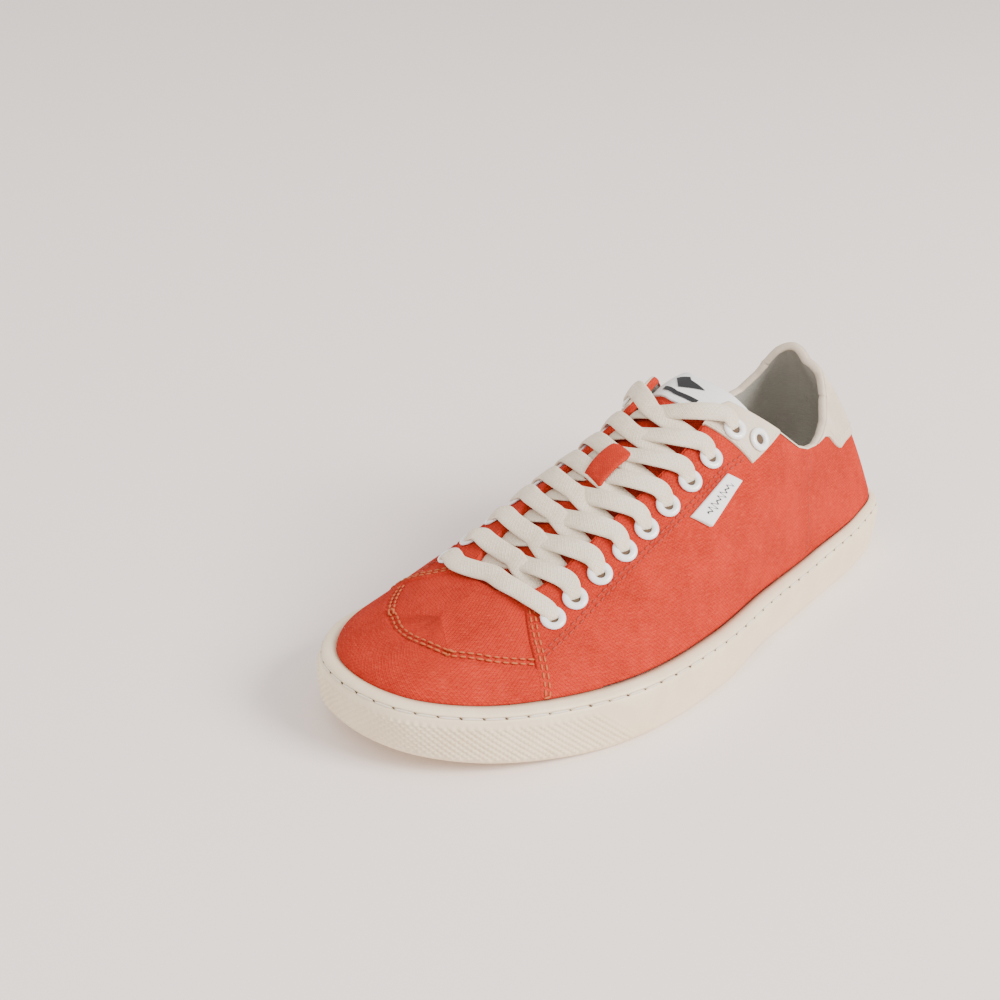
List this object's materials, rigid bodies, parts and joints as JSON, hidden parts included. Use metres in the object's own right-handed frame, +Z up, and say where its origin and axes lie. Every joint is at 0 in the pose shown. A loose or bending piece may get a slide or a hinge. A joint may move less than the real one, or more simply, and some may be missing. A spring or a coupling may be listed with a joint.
{
  "type": "sneaker",
  "caption": "Low lace-up canvas sneaker on a cream cup sole, with an open collar, a lined tongue, a leather heel tab and lace patches",
  "frame": {"origin": "centre of the bounding box at the height of the floor", "axes": "+X points to the toe, +Y to the outer side of the foot, +Z up"},
  "size_m": [0.29, 0.112, 0.0976],
  "materials": {
    "canvas": "woven cotton canvas, dry and matte",
    "sole_rubber": "moulded cream rubber, satin",
    "insole": "brushed fabric over foam",
    "leather": "smooth beige leather",
    "label": "flat woven label",
    "lace": "flat woven cotton",
    "eyelet": "white enamel over metal"
  },
  "bodies": {
    "root": {"outsole": "sole_rubber", "upper": "canvas", "insole": "insole", "tongue": "canvas", "tongue_label": "label", "heel_tab": "leather", "patch_outer": "leather", "patch_inner": "leather", "side_tag": "label", "lace_keeper": "canvas", "lace_1": "lace", "lace_2": "lace", "lace_3": "lace", "lace_4": "lace", "lace_5": "lace", "lace_6": "lace", "lace_7": "lace", "lace_8": "lace", "lace_9": "lace", "eyelet_outer_1": "eyelet", "eyelet_outer_2": "eyelet", "eyelet_outer_3": "eyelet", "eyelet_outer_4": "eyelet", "eyelet_outer_5": "eyelet", "eyelet_outer_6": "eyelet", "eyelet_outer_7": "eyelet", "eyelet_outer_8": "eyelet", "eyelet_outer_9": "eyelet", "eyelet_outer_10": "eyelet", "eyelet_inner_1": "eyelet", "eyelet_inner_2": "eyelet", "eyelet_inner_3": "eyelet", "eyelet_inner_4": "eyelet", "eyelet_inner_5": "eyelet", "eyelet_inner_6": "eyelet", "eyelet_inner_7": "eyelet", "eyelet_inner_8": "eyelet", "eyelet_inner_9": "eyelet", "eyelet_inner_10": "eyelet"}
  },
  "joints": []
}
